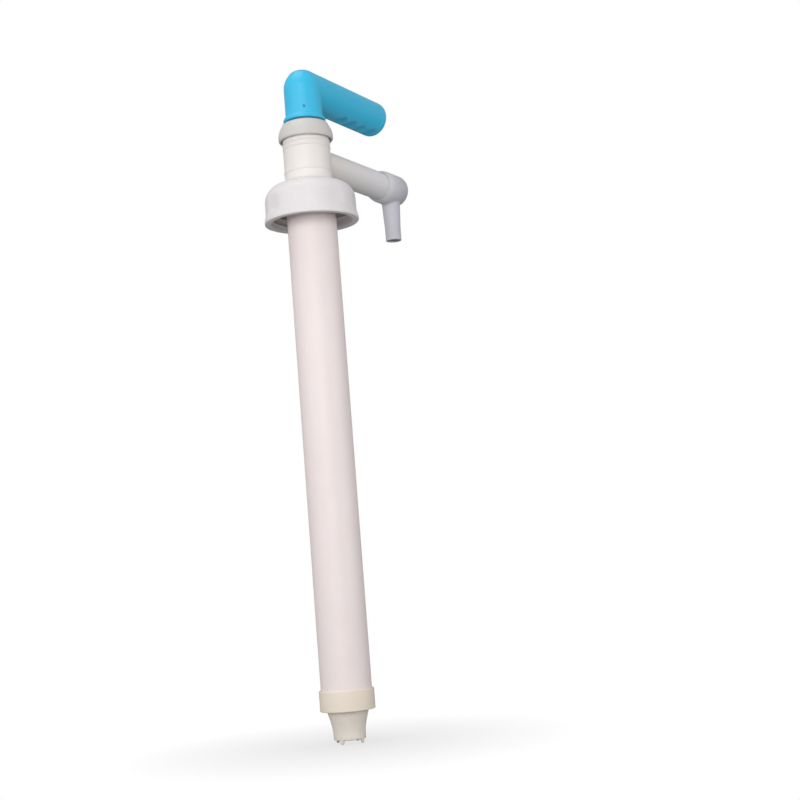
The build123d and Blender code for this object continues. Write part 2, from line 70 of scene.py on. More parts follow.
barrel_low, barrel_high = span("barrel_tube")
tee_low, tee_high = span("head_tee")
cap_low, cap_high = span("screw_cap")
gland_low, gland_high = span("gland_nut")
elbow_low, elbow_high = span("spout_elbow")
seal_low, seal_high = span("spout_o_ring")
handle_low, handle_high = span("handle")
pin_low, pin_high = span("handle_pin")
rod_low, rod_high = span("piston_rod")
foot_ring_low, foot_ring_high = span("foot_ring")
funnel_low, funnel_high = span("foot_valve_body")
neck_top = span("neck_flange")[1].z

barrel_wall = 2.0 * MM
barrel_r = barrel_high.x
barrel_bore_r = barrel_r - barrel_wall

tee_bead = 0.3 * MM             # how far the fine rings stand out of the tee
tee_wall = 1.8 * MM
tee_r = tee_high.y - tee_bead
spigot_r = barrel_bore_r
tee_bore_r = spigot_r - tee_wall

branch_wall = 2.3 * MM
branch_height = (seal_low.z + seal_high.z) / 2
branch_r = (seal_high.z - seal_low.z) / 2
branch_bore_r = branch_r - branch_wall
branch_centre = (0, 0, branch_height)

sleeve_gap = 0.2 * MM
nozzle_tip_r = 5.9 * MM
nozzle_top_r = 6.8 * MM
nozzle_bore_r = 4.5 * MM
elbow_r = elbow_high.z - branch_height
elbow_bore_r = branch_r + sleeve_gap
nozzle_centre = (elbow_high.x - nozzle_top_r - 5.5 * MM, 0, 0)

rod_wall = 2.0 * MM
rod_r = rod_high.x

arm_wall = 3.0 * MM
leg_r = 12.9 * MM
arm_height = handle_high.z - leg_r
arm_bore_r = leg_r - arm_wall
arm_centre = (0, 0, arm_height)

cap_flare = 1.15 * MM           # how far the rim stands out of the skirt
cap_wall = 3.2 * MM
cap_roof = 2.9 * MM
cap_rim_r = cap_high.x
cap_r = cap_rim_r - cap_flare
cap_bore_r = cap_r - cap_wall
cap_top = cap_high.z
cap_rim = cap_low.z
cap_seat = cap_top - cap_roof
cap_flare_top = cap_rim + 6.5 * MM

# ---------------------------------------------------------------- modelling by hand
WELD = 1e-6                     # corners closer than this, in metres, become one
ROUND_STEPS = 10                # segments in a rounded corner
TURN_STEPS = 128                # segments round a turned piece
THREAD_STEPS = 96               # segments in a turn of the thread
SMOOTH_SHARE = 0.5              # share of the way to its neighbours that a point moves in a pass
PAST = 1 * MM                   # how far a cutter passes the face that it cuts through


def activate(piece):
    bpy.ops.object.select_all(action="DESELECT")
    piece.select_set(True)
    bpy.context.view_layer.objects.active = piece


def apply_modifier(piece, modifier):
    activate(piece)
    bpy.ops.object.modifier_apply(modifier=modifier.name)


def primitive(add, **settings):
    """Adds a primitive with nothing else selected."""
    bpy.ops.object.select_all(action="DESELECT")
    add(**settings)
    return bpy.context.object


def drawn(name, corners):
    """Draws a flat outline corner by corner and fills it. It stays selected, in edit mode."""
    piece = primitive(bpy.ops.mesh.primitive_plane_add, size=MM)
    piece.name = name
    bpy.ops.object.mode_set(mode="EDIT")
    bpy.ops.mesh.merge(type="CENTER")
    bpy.ops.transform.translate(value=corners[0])
    for here, there in zip(corners, corners[1:]):
        bpy.ops.mesh.extrude_region_move(TRANSFORM_OT_translate={"value": there - here})
    bpy.ops.mesh.select_all(action="SELECT")
    bpy.ops.mesh.edge_face_add()
    return piece


def turned(name, outline, rounds=(), along="Z", centre=(0, 0, 0)):
    """Spins an outline of (radius, place along the axis) points, with some corners rounded.

    rounds holds (corner, rounding) pairs.
    """
    def at(radius, place):
        offset = (radius, 0, place) if along == "Z" else (place, 0, radius)
        return Vector(centre) + Vector(offset)

    piece = drawn(name, [at(*point) for point in outline])
    bpy.ops.mesh.select_mode(type="VERT")
    for place, rounding in rounds:
        bpy.ops.mesh.select_all(action="DESELECT")
        mesh = bmesh.from_edit_mesh(piece.data)
        corner = min(mesh.verts, key=lambda vert: (vert.co - at(*place)).length)
        corner.select = True
        mesh.select_flush_mode()
        bmesh.update_edit_mesh(piece.data)
        bpy.ops.mesh.bevel(affect="VERTICES", offset=rounding, segments=ROUND_STEPS, profile=0.5)
    bpy.ops.mesh.select_all(action="SELECT")
    bpy.ops.mesh.delete(type="ONLY_FACE")
    bpy.ops.mesh.select_all(action="SELECT")
    axis = (0, 0, 1) if along == "Z" else (1, 0, 0)
    bpy.ops.mesh.spin(steps=TURN_STEPS, angle=2 * math.pi, center=centre, axis=axis)
    bpy.ops.mesh.select_all(action="SELECT")
    bpy.ops.mesh.remove_doubles(threshold=WELD)
    bpy.ops.mesh.delete_loose()
    bpy.ops.mesh.select_all(action="SELECT")
    bpy.ops.mesh.normals_make_consistent(inside=False)
    bpy.ops.object.mode_set(mode="OBJECT")
    activate(piece)
    bpy.ops.object.shade_smooth_by_angle(angle=math.radians(35))
    return piece


def bar(name, radius, start, end, along="Z", centre=(0, 0, 0), rounding=0.0):
    """Solid round bar, its far end rounded if asked."""
    outline = [(0, start), (radius, start), (radius, end), (0, end)]
    rounds = [((radius, end), rounding)] if rounding else []
    return turned(name, outline, rounds, along, centre)


def tube(name, bore_r, outer_r, low, high):
    """Length of tube, its outer edges a little eased where it was cut."""
    eased = 0.4 * MM
    return turned(name, [(bore_r, low), (outer_r, low), (outer_r, high), (bore_r, high)],
                  [((outer_r, low), eased), ((outer_r, high), eased)])


def combine(piece, tool, operation):
    """Joins a tool to a piece or cuts it away, and removes the tool."""
    modifier = piece.modifiers.new("combine", "BOOLEAN")
    modifier.operation = operation
    modifier.object = tool
    modifier.solver = "EXACT"
    apply_modifier(piece, modifier)
    bpy.data.objects.remove(tool)


def from_axis(point, centre, along):
    """Distance of a point from an axis along X or Z through a centre."""
    offset = point - Vector(centre)
    if along == "Z":
        return math.hypot(offset.x, offset.y)
    return math.hypot(offset.y, offset.z)


def crossing(first, second, reach):
    """Weight that is 1 where two round skins cross and falls to 0 at a reach from there."""
    def weight(point):
        gaps = [abs(from_axis(point, centre, along) - radius)
                for radius, centre, along in (first, second)]
        return max(0.0, 1.0 - math.hypot(*gaps) / reach)
    return weight


def relax(piece, passes, group=""):
    """Eases the edges of a piece, or of one group of its points."""
    modifier = piece.modifiers.new("relax", "SMOOTH")
    modifier.factor = SMOOTH_SHARE
    modifier.iterations = passes
    modifier.vertex_group = group
    apply_modifier(piece, modifier)


def soften(piece, voxel, passes, root=None, root_passes=0):
    """Gives a joined moulding one even skin with rounded edges, and a fillet at its root."""
    remesh = piece.modifiers.new("skin", "REMESH")
    remesh.mode = "VOXEL"
    remesh.voxel_size = voxel
    apply_modifier(piece, remesh)
    if root:
        group = piece.vertex_groups.new(name="root")
        for vert in piece.data.vertices:
            weight = root(vert.co)
            if weight > 0:
                group.add([vert.index], weight, "REPLACE")
        relax(piece, root_passes, group.name)
        piece.vertex_groups.clear()
    relax(piece, passes)
    activate(piece)
    bpy.ops.object.shade_smooth()


# ---------------------------------------------------------------- materials
def linear(hex_colour):
    """sRGB hex to linear colour."""
    parts = [int(hex_colour[i:i + 2], 16) / 255 for i in (1, 3, 5)]
    return tuple(part / 12.92 if part <= 0.04045 else ((part + 0.055) / 1.055) ** 2.4
                 for part in parts) + (1.0,)


def node(owner, kind, settings=None, links=None):
    """Adds a node, sets its fields and sockets, and links sockets from (node, output) pairs."""
    made = owner.node_tree.nodes.new(kind)
    for key, value in (settings or {}).items():
        if isinstance(key, str) and hasattr(made, key):
            setattr(made, key, value)
        else:
            made.inputs[key].default_value = value
    for key, (source, output) in (links or {}).items():
        owner.node_tree.links.new(source.outputs[output], made.inputs[key])
    return made


def emptied(owner):
    """Turns nodes on for a material or a world, with none in it yet."""
    owner.use_nodes = True
    owner.node_tree.nodes.clear()
    return owner


def mottled(material, place, size_mm, detail, light, dark, roughness=0.5):
    """Two colours in patches of a real size. Returns the pattern and the colour."""
    pattern = node(material, "ShaderNodeTexNoise",
                   {"Scale": 1 / (size_mm * MM), "Detail": detail, "Roughness": roughness},
                   {"Vector": (place, "Object")})
    tint = node(material, "ShaderNodeMix",
                {"data_type": "RGBA", 6: linear(light), 7: linear(dark)},
                {"Factor": (pattern, "Fac")})
    return pattern, tint


def finish_material(material, shader_settings, links):
    shader = node(material, "ShaderNodeBsdfPrincipled", shader_settings, links)
    node(material, "ShaderNodeOutputMaterial", None, {"Surface": (shader, "BSDF")})
    return material


def plastic(name, light, dark, roughness, scatter=0.12, scatter_mm=2.0, cloud_mm=22.0,
            peel_height_mm=0.02, die_line_mm=None, parting=False, clear=0.0, scuffs=0.04,
            drift_tint_and_painted_shade=None):
    """Plain plastic. Clouds of colour, an orange-peel skin, faint scuffs, and how it was made.

    die_line_mm = (spacing, length) draws the lines that a die leaves along Z.
    parting draws the fine witness line where the mould halves met, in the plane y = 0.
    The last argument, (colour, start, end), drifts to a second colour between two places along X,
    in mm: a cooler tint on the tee's branch, and darker painted shade at the nozzle.
    """
    peel_mm, scuff_mm = 0.9, 6.0
    parting_half_mm, parting_peels = 0.3, 3.0    # half width, and height in heights of the peel
    material = emptied(bpy.data.materials.new(name))
    place = node(material, "ShaderNodeTexCoord")
    _, tint = mottled(material, place, cloud_mm, 3.0, light, dark, roughness=0.55)
    if drift_tint_and_painted_shade or parting:
        axes = node(material, "ShaderNodeSeparateXYZ", None, {"Vector": (place, "Object")})
    # Drift along X to a second colour: a cooler tint on the tee's branch, darker painted shade on
    # the nozzle.
    if drift_tint_and_painted_shade:
        colour, start, end = drift_tint_and_painted_shade
        drift = node(material, "ShaderNodeMapRange",
                     {"From Min": start * MM, "From Max": end * MM}, {"Value": (axes, "X")})
        tint = node(material, "ShaderNodeMix", {"data_type": "RGBA", 7: linear(colour)},
                    {"Factor": (drift, "Result"), 6: (tint, 2)})
    grain = node(material, "ShaderNodeTexNoise", {"Scale": 1 / (peel_mm * MM), "Detail": 2.0},
                 {"Vector": (place, "Object")})
    height = (grain, "Fac")
    if die_line_mm:
        spacing, length = (1 / (size * MM) for size in die_line_mm)
        stretch = node(material, "ShaderNodeMapping", {"Scale": (spacing, spacing, length)},
                       {"Vector": (place, "Object")})
        lines = node(material, "ShaderNodeTexNoise", {"Scale": 1.0, "Detail": 4.0},
                     {"Vector": (stretch, "Vector")})
        both = node(material, "ShaderNodeMath", {"operation": "ADD"},
                    {0: height, 1: (lines, "Fac")})
        height = (both, "Value")
    if parting:
        side = node(material, "ShaderNodeMath", {"operation": "ABSOLUTE"}, {0: (axes, "Y")})
        ridge = node(material, "ShaderNodeMapRange",
                     {"From Min": 0.0, "From Max": parting_half_mm * MM,
                      "To Min": parting_peels, "To Max": 0.0}, {"Value": (side, "Value")})
        both = node(material, "ShaderNodeMath", {"operation": "ADD"},
                    {0: height, 1: (ridge, "Result")})
        height = (both, "Value")
    bump = node(material, "ShaderNodeBump", {"Strength": 1.0, "Distance": peel_height_mm * MM},
                {"Height": height})
    rubbed = node(material, "ShaderNodeTexNoise",
                  {"Scale": 1 / (scuff_mm * MM), "Detail": 5.0, "Distortion": 1.2},
                  {"Vector": (place, "Object")})
    gloss = node(material, "ShaderNodeMapRange",
                 {"From Min": 0.3, "From Max": 0.7,
                  "To Min": roughness - scuffs, "To Max": roughness + scuffs},
                 {"Value": (rubbed, "Fac")})
    return finish_material(
        material,
        {"IOR": 1.49, "Subsurface Weight": scatter, "Subsurface Radius": (1.0, 0.85, 0.75),
         "Subsurface Scale": scatter_mm * MM, "Transmission Weight": clear},
        {"Base Color": (tint, 2), "Roughness": (gloss, "Result"), "Normal": (bump, "Normal")})


def extruded_polypropylene():
    """Barrel and rod: drawn through a die, so fine lines run along it on a warm white."""
    return plastic("extruded_polypropylene", "#F0E5E4", "#E9DDDC", 0.45,
                   die_line_mm=(1.111, 166.7), peel_height_mm=0.012)


def moulded_polypropylene():
    """Pump head: warm white injection moulding with a satin skin, cooler out on the branch."""
    return plastic("moulded_polypropylene", "#ECE7E4", "#E5DFDC", 0.42, parting=True,
                   drift_tint_and_painted_shade=("#E8E6E9", 20, 80))


def gland_polypropylene():
    """Gland nut: a little greyer, from another mould."""
    return plastic("moulded_polypropylene_gland", "#D3D0CE", "#CBC8C6", 0.45)


def moulded_polyethylene():
    """Screw cap: cool white, softer and waxier."""
    return plastic("moulded_polyethylene", "#E6E2E3", "#DEDADC", 0.46, scatter=0.4,
                   scatter_mm=3.0, cloud_mm=15.0)


def natural_polyethylene():
    """Spout elbow and valve parts: unpigmented, so light passes in. Darker and greyer at the
    nozzle: painted shade.
    """
    # The nozzle's darker grey end, from x = 98 to 118 mm, is painted shade.
    return plastic("natural_polyethylene", "#E4E2E8", "#DAD8DF", 0.38, scatter=0.35,
                   scatter_mm=3.0, parting=True, drift_tint_and_painted_shade=("#B8B6C2", 98, 118))


def natural_funnel():
    """Foot funnel: the same resin with a warmer, clearer wall."""
    return plastic("natural_polyethylene_foot", "#EFE7DD", "#E4DCD2", 0.36, scatter=0.3,
                   scatter_mm=3.0, clear=0.05)


def cream_polypropylene():
    """Foot ring: cream injection moulding."""
    return plastic("cream_polypropylene", "#EDE1D2", "#E4D7C7", 0.45, scatter=0.15)


def blue_polyethylene():
    """Handle: sky-blue, semi-gloss, with small scuffs where hands hold it."""
    return plastic("blue_polyethylene", "#40C4EC", "#34BAE4", 0.37, scatter=0.10,
                   scatter_mm=1.5, parting=True, cloud_mm=30.0, scuffs=0.07)


def rubber(name, light, dark):
    """Rubber: matt, with a fine grit."""
    grit_mm, grit_height_mm = 0.6, 0.05
    material = emptied(bpy.data.materials.new(name))
    place = node(material, "ShaderNodeTexCoord")
    grit, tint = mottled(material, place, grit_mm, 4.0, light, dark)
    bump = node(material, "ShaderNodeBump", {"Strength": 1.0, "Distance": grit_height_mm * MM},
                {"Height": (grit, "Fac")})
    return finish_material(material, {"Roughness": 0.78, "IOR": 1.52},
                           {"Base Color": (tint, 2), "Normal": (bump, "Normal")})


def drawn_steel():
    """Handle's dowel: drawn stainless wire, dulled, with a painted reflection of the blue handle
    around it in its colour.
    """
    wear_mm = 0.3
    material = emptied(bpy.data.materials.new("drawn_stainless_steel"))
    place = node(material, "ShaderNodeTexCoord")
    # Both colours are steel grey tinted blue: a painted reflection of the handle.
    wear, tint = mottled(material, place, wear_mm, 5.0, "#5F8496", "#4A6C7D")
    gloss = node(material, "ShaderNodeMapRange", {"To Min": 0.32, "To Max": 0.55},
                 {"Value": (wear, "Fac")})
    return finish_material(material, {"Metallic": 1.0},
                           {"Base Color": (tint, 2), "Roughness": (gloss, "Result")})


def marble_glass():
    """Check balls: pale green pressed glass with a few seeds."""
    seed_mm, seed_height_mm = 1.5, 0.01
    material = emptied(bpy.data.materials.new("pressed_glass"))
    place = node(material, "ShaderNodeTexCoord")
    seeds, tint = mottled(material, place, seed_mm, 3.0, "#DCEBE4", "#C4DCD2")
    bump = node(material, "ShaderNodeBump", {"Strength": 1.0, "Distance": seed_height_mm * MM},
                {"Height": (seeds, "Fac")})
    return finish_material(material,
                           {"Roughness": 0.05, "IOR": 1.52, "Transmission Weight": 0.85},
                           {"Base Color": (tint, 2), "Normal": (bump, "Normal")})


barrel_plastic = extruded_polypropylene()
head_plastic = moulded_polypropylene()
gland_plastic = gland_polypropylene()
cap_plastic = moulded_polyethylene()
spout_plastic = natural_polyethylene()
funnel_plastic = natural_funnel()
ring_plastic = cream_polypropylene()
handle_plastic = blue_polyethylene()
gasket_rubber = rubber("epdm_sheet", "#5A5654", "#4C4846")
seal_rubber = rubber("nitrile_rubber", "#26262A", "#1C1C1F")
pin_steel = drawn_steel()
ball_glass = marble_glass()


def dress(piece, material, body, slot, *nodes):
    """Gives a new piece its material and the body it rides on, and hides the CAD nodes that it
    stands for.
    """
    piece.data.materials.clear()
    piece.data.materials.append(material)
    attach(piece, body)
    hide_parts(*nodes)


# ---------------------------------------------------------------- barrel and cap
def barrel_skin():
    """Long barrel, open at both ends."""
    piece = tube("barrel_extrusion", barrel_bore_r, barrel_r, barrel_low.z, barrel_high.z)
    dress(piece, barrel_plastic, "pump_body", "barrel_plastic", "barrel_tube")


def thread_ridge():
    """Helical ridge inside the cap: a section drawn once and wound by the Screw modifier."""
    pitch = 5.0 * MM
    turns = 2
    start = cap_rim + 2.4 * MM
    root_r = cap_bore_r + 0.5 * MM          # sunk into the wall
    crest_r = cap_bore_r - 1.1 * MM
    root_half = 1.2 * MM
    crest_half = 0.5 * MM
    section = [(root_r, -root_half), (root_r, root_half), (crest_r, crest_half),
               (crest_r, -crest_half)]
    ridge = drawn("thread", [Vector((radius, 0, start + rise)) for radius, rise in section])
    bpy.ops.object.mode_set(mode="OBJECT")
    screw = ridge.modifiers.new("wind", "SCREW")
    screw.axis = "Z"
    screw.screw_offset = pitch
    screw.angle = 2 * math.pi
    screw.iterations = turns
    screw.steps = THREAD_STEPS
    screw.render_steps = THREAD_STEPS
    apply_modifier(ridge, screw)
    bpy.ops.object.mode_set(mode="EDIT")
    bpy.ops.mesh.select_all(action="SELECT")
    bpy.ops.mesh.remove_doubles(threshold=WELD)
    bpy.ops.mesh.normals_make_consistent(inside=False)
    bpy.ops.object.mode_set(mode="OBJECT")
    return ridge


def cut_flats(piece):
    """Cuts the shallow grip flats round the cap, above its flared rim."""
    flats = 8
    step = 360 / flats
    depth = 0.6 * MM
    reach = 5 * MM                          # half thickness of the cutting block
    width = 40 * MM
    tall = 30 * MM
    for number in range(flats):
        angle = math.radians(step / 2 + step * number)
        middle = (cap_r - depth + reach) * Vector((math.cos(angle), math.sin(angle), 0))
        middle.z = cap_flare_top + tall / 2
        block = primitive(bpy.ops.mesh.primitive_cube_add, size=1, location=middle,
                          rotation=(0, 0, angle), scale=(reach * 2, width, tall))
        combine(piece, block, "DIFFERENCE")


def cap_skin():
    """Screw cap with its dome, flats, flared rim and thread."""
    hole_r = tee_r + 0.35 * MM
    shoulder = 12.3 * MM
    lip_top = cap_rim + 1.8 * MM
    piece = turned("cap_moulding",
                   [(hole_r, cap_seat), (hole_r, cap_top), (cap_r, cap_top),
                    (cap_r, cap_flare_top), (cap_rim_r, lip_top), (cap_rim_r, cap_rim),
                    (cap_bore_r, cap_rim), (cap_bore_r, cap_seat)],
                   [((cap_r, cap_top), shoulder), ((cap_bore_r, cap_seat), shoulder - cap_wall)])
    combine(piece, thread_ridge(), "UNION")
    cut_flats(piece)
    soften(piece, voxel=0.5 * MM, passes=3)
    dress(piece, cap_plastic, "screw_cap", "cap_plastic", "screw_cap")


# ---------------------------------------------------------------- pump head
def tee_skin():
    """Tee: body, spigot and branch in one moulding, with a fillet at the branch's root."""
    piece = turned("tee_moulding",
                   [(tee_bore_r, tee_low.z), (spigot_r, tee_low.z), (spigot_r, neck_top),
                    (tee_r, neck_top), (tee_r, tee_high.z), (tee_bore_r, tee_high.z)])
    branch_start = tee_bore_r + 1 * MM
    combine(piece, bar("branch", branch_r, branch_start, tee_high.x, "X", branch_centre), "UNION")
    combine(piece, bar("bore", branch_bore_r, 0, tee_high.x + PAST, "X", branch_centre),
            "DIFFERENCE")
    fillet_reach = 5 * MM
    root = crossing((tee_r, (0, 0, 0), "Z"), (branch_r, branch_centre, "X"), fillet_reach)
    soften(piece, voxel=0.55 * MM, passes=4, root=root, root_passes=40)
    dress(piece, head_plastic, "pump_body", "head_plastic", "head_tee")


def tee_rings():
    """Fine moulded rings round the tee's body, two low down and two under the gland."""
    heights = [neck_top + 5.2 * MM, branch_height - branch_r,
               gland_low.z - 2.8 * MM, gland_low.z - 5.9 * MM]
    half = 0.55 * MM
    crest_half = half * 0.4
    root_r = tee_r - 0.5 * MM               # sunk into the tee
    crest_r = tee_high.y
    rounding = 0.12 * MM
    for number, height in enumerate(heights):
        crest_low, crest_high = height - crest_half, height + crest_half
        ring = turned(f"tee_ring_{number}",
                      [(root_r, height - half), (tee_r, height - half), (crest_r, crest_low),
                       (crest_r, crest_high), (tee_r, height + half), (root_r, height + half)],
                      [((crest_r, crest_low), rounding), ((crest_r, crest_high), rounding)])
        ring.data.materials.append(head_plastic)
        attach(ring, "pump_body")


def gland_skin():
    """Gland nut: a bulged ring with a skirt over the tee and a small boss round the rod."""
    outer_r = gland_high.x
    boss_r = rod_r + 2.3 * MM
    crown_r = outer_r - 3.3 * MM
    hole_r = rod_r + 0.3 * MM
    thread_r = tee_r + 0.05 * MM
    relief_r = (outer_r + thread_r) / 2
    low, top = gland_low.z, gland_high.z
    crown = top - 1.2 * MM
    bulge = low + (crown - low) * 0.45
    thread_start = low + 2.5 * MM
    shelf = crown - 2.5 * MM
    piece = turned("gland_moulding",
                   [(hole_r, top), (boss_r, top), (boss_r, crown), (crown_r, crown),
                    (outer_r, bulge), (outer_r, low), (relief_r, low), (relief_r, thread_start),
                    (thread_r, thread_start), (thread_r, shelf), (hole_r, shelf)],
                   [((crown_r, crown), 0.9 * MM), ((outer_r, bulge), 2.4 * MM),
                    ((outer_r, low), 1.2 * MM), ((boss_r, top), 0.4 * MM)])
    dress(piece, gland_plastic, "pump_body", "head_plastic", "gland_nut")


def elbow_skin():
    """Swivel elbow: sleeve over the branch, rounded end and tapered nozzle."""
    start, end, tip = elbow_low.x, elbow_high.x, elbow_low.z
    lip_r = elbow_bore_r + 0.5 * MM
    lip_end = start + 4 * MM                # where the sleeve reaches its full size
    taper_start = tip + 8.5 * MM
    piece = turned("elbow_moulding",
                   [(0, start), (lip_r, start), (elbow_r, lip_end), (elbow_r, end), (0, end)],
                   [((elbow_r, lip_end), 2.0 * MM), ((elbow_r, end), 7.0 * MM)],
                   "X", branch_centre)
    nozzle = turned("nozzle",
                    [(0, tip), (nozzle_tip_r, tip), (nozzle_tip_r, taper_start),
                     (nozzle_top_r, branch_height - elbow_r), (nozzle_top_r, branch_height),
                     (0, branch_height)],
                    (), "Z", nozzle_centre)
    combine(piece, nozzle, "UNION")
    end_wall = 2.6 * MM
    stop_gap = 0.3 * MM                     # between the branch's end and the elbow's inside
    for name, radius, first, last, along, centre in (
            ("sleeve_bore", elbow_bore_r, start - PAST, tee_high.x + stop_gap, "X", branch_centre),
            ("bore", branch_bore_r, start, end - end_wall, "X", branch_centre),
            ("mouth", nozzle_bore_r, tip - PAST, branch_height, "Z", nozzle_centre)):
        combine(piece, bar(name, radius, first, last, along, centre), "DIFFERENCE")
    fillet_reach = 3.5 * MM
    root = crossing((elbow_r, branch_centre, "X"), (nozzle_top_r, nozzle_centre, "Z"),
                    fillet_reach)
    soften(piece, voxel=0.4 * MM, passes=4, root=root, root_passes=30)
    dress(piece, spout_plastic, "spout", "natural_plastic", "spout_elbow")


# ---------------------------------------------------------------- rod and handle
def rod_skin():
    """Hollow piston rod."""
    piece = tube("rod_extrusion", rod_r - rod_wall, rod_r, rod_low.z, rod_high.z)
    dress(piece, barrel_plastic, "rod_assembly", "rod_plastic", "piston_rod")


def cut_grooves(piece):
    """Cuts the finger grooves across the underside of the handle's arm."""
    grooves = 4
    spacing = 13 * MM
    groove_r = 9 * MM
    depth = 1.8 * MM
    first = handle_high.x - 8 * MM
    height = arm_height - leg_r - groove_r + depth
    for number in range(grooves):
        cutter = primitive(bpy.ops.mesh.primitive_cylinder_add, vertices=96, radius=groove_r,
                           depth=leg_r * 2.5, location=(first - spacing * number, 0, height),
                           rotation=(math.pi / 2, 0, 0))
        combine(piece, cutter, "DIFFERENCE")


def cut_pin_hole(piece):
    """Bores the hole for the dowel through the handle's leg."""
    drill = primitive(bpy.ops.mesh.primitive_cylinder_add, vertices=48,
                      radius=(pin_high.z - pin_low.z) / 2, depth=leg_r * 3,
                      location=(0, 0, (pin_low.z + pin_high.z) / 2),
                      rotation=(0, math.pi / 2, math.atan2(pin_high.y, pin_high.x)))
    combine(piece, drill, "DIFFERENCE")


def handle_skin():
    """Angled pull handle with its collar, hollow arm and finger grooves."""
    foot, top, reach = handle_low.z, handle_high.z, handle_high.x
    crown = top - 0.9 * MM
    shoulder = top - 9.5 * MM
    crown_r = leg_r - 6.0 * MM
    piece = turned("handle_moulding",
                   [(0, foot), (leg_r, foot), (leg_r, shoulder), (crown_r, crown), (0, crown)],
                   [((leg_r, shoulder), 4.0 * MM), ((crown_r, crown), 3.5 * MM)])
    heel = -6.0 * MM                        # the arm's near end, inside the leg
    arm_r = leg_r - 0.03 * MM               # a hair slimmer, so that the two skins cross cleanly
    arm = turned("arm", [(0, heel), (arm_r, heel), (arm_r, reach), (0, reach)],
                 [((arm_r, heel), 10.0 * MM)], "X", arm_centre)
    combine(piece, arm, "UNION")
    collar_r = handle_high.y
    collar_top = foot + 1.8 * MM
    taper_top = foot + 4.2 * MM
    collar = turned("collar",
                    [(0, foot), (collar_r, foot), (collar_r, collar_top),
                     (leg_r - 0.2 * MM, taper_top), (0, taper_top)],
                    [((collar_r, foot), 0.3 * MM)])
    combine(piece, collar, "UNION")
    combine(piece, bar("arm_bore", arm_bore_r, 0, reach + PAST, "X", arm_centre), "DIFFERENCE")
    combine(piece, bar("socket", rod_r, foot - PAST, rod_high.z, "Z"), "DIFFERENCE")
    cut_grooves(piece)
    cut_pin_hole(piece)
    fillet_reach = 3 * MM
    root = crossing((leg_r, (0, 0, 0), "Z"), (leg_r, arm_centre, "X"), fillet_reach)
    soften(piece, voxel=0.5 * MM, passes=5, root=root, root_passes=16)
    dress(piece, handle_plastic, "rod_assembly", "handle_plastic", "handle")


# ---------------------------------------------------------------- foot
def foot_ring_skin():
    """Cream ring that holds the foot valve to the barrel's end."""
    low, high = foot_ring_low.z, foot_ring_high.z
    outer_r = foot_ring_high.x
    lip = low + 2.0 * MM
    opening_r = barrel_bore_r - 0.95 * MM
    piece = turned("foot_ring_moulding",
                   [(opening_r, low), (outer_r, low), (outer_r, high), (barrel_r, high),
                    (barrel_r, lip), (opening_r, lip)],
                   [((outer_r, low), 0.7 * MM), ((outer_r, high), 0.5 * MM)])
    dress(piece, ring_plastic, "pump_body", "cream_plastic", "foot_ring")


def add_nubs(piece, tip_r, mouth):
    """Adds the four nubs that keep the funnel's mouth off the can's bottom."""
    nubs = 4
    nub_r = 1.4 * MM
    rounding = 1.2 * MM
    ring_r = tip_r - nub_r
    for number in range(nubs):
        angle = math.radians(360 / nubs * number)
        centre = (ring_r * math.cos(angle), ring_r * math.sin(angle), 0)
        nub = bar("nub", nub_r, mouth + 2 * MM, funnel_low.z, "Z", centre, rounding)
        combine(piece, nub, "UNION")


def funnel_skin():
    """Foot funnel with its mouth nubs, one moulding."""
    top = foot_ring_low.z
    mouth = funnel_low.z + 2.5 * MM
    waist = top - 11.5 * MM
    tip_r = 10.7 * MM
    wide_r = barrel_bore_r - 1.05 * MM
    flange_r = funnel_high.x
    flange_bottom, flange_top = top + 2.0 * MM, top + 4.5 * MM
    piece = turned("funnel_moulding",
                   [(0, funnel_high.z), (barrel_bore_r, funnel_high.z),
                    (barrel_bore_r, flange_top), (flange_r, flange_top),
                    (flange_r, flange_bottom), (wide_r, flange_bottom), (wide_r, top),
                    (tip_r, waist), (tip_r, mouth), (0, mouth)],
                   [((tip_r, waist), 4.0 * MM), ((tip_r, mouth), 0.8 * MM)])
    add_nubs(piece, tip_r, mouth)
    inlet_r = 9.0 * MM
    inlet_top = mouth + 4.9 * MM
    seat_r = 4.4 * MM
    seat_top = mouth + 9 * MM
    chamber_r = wide_r - 1.7 * MM
    chamber = turned("chamber",
                     [(0, seat_top), (inlet_r, seat_top), (inlet_r, waist),
                      (wide_r - 2.9 * MM, top), (chamber_r, top + 4 * MM),
                      (chamber_r, funnel_high.z + PAST), (0, funnel_high.z + PAST)])
    combine(piece, chamber, "DIFFERENCE")
    combine(piece, bar("seat_hole", seat_r, mouth, seat_top + PAST), "DIFFERENCE")
    combine(piece, bar("inlet", inlet_r, funnel_low.z - PAST, inlet_top), "DIFFERENCE")
    soften(piece, voxel=0.4 * MM, passes=3)
    dress(piece, funnel_plastic, "pump_body", "natural_plastic", "foot_valve_body")


barrel_skin()
cap_skin()
tee_skin()
tee_rings()
gland_skin()
elbow_skin()
rod_skin()
handle_skin()
foot_ring_skin()
funnel_skin()

carried = {
    "neck_flange": head_plastic,
    "neck_gasket": gasket_rubber,
    "rod_guide_bush": spout_plastic,
    "rod_seal": seal_rubber,
    "spout_o_ring": seal_rubber,
    "handle_pin": pin_steel,
    "piston_body": spout_plastic,
    "piston_seat_nut": spout_plastic,
    "piston_cup": seal_rubber,
    "piston_ball": ball_glass,
    "foot_gasket": seal_rubber,
    "foot_ball_cage": spout_plastic,
    "foot_ball": ball_glass,
}
for name, material in carried.items():
    cad_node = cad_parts[name]
    cad_node.data.materials.clear()
    cad_node.data.materials.append(material)


# ---------------------------------------------------------------- floor, light and camera
WHITE = (1, 1, 1, 1)


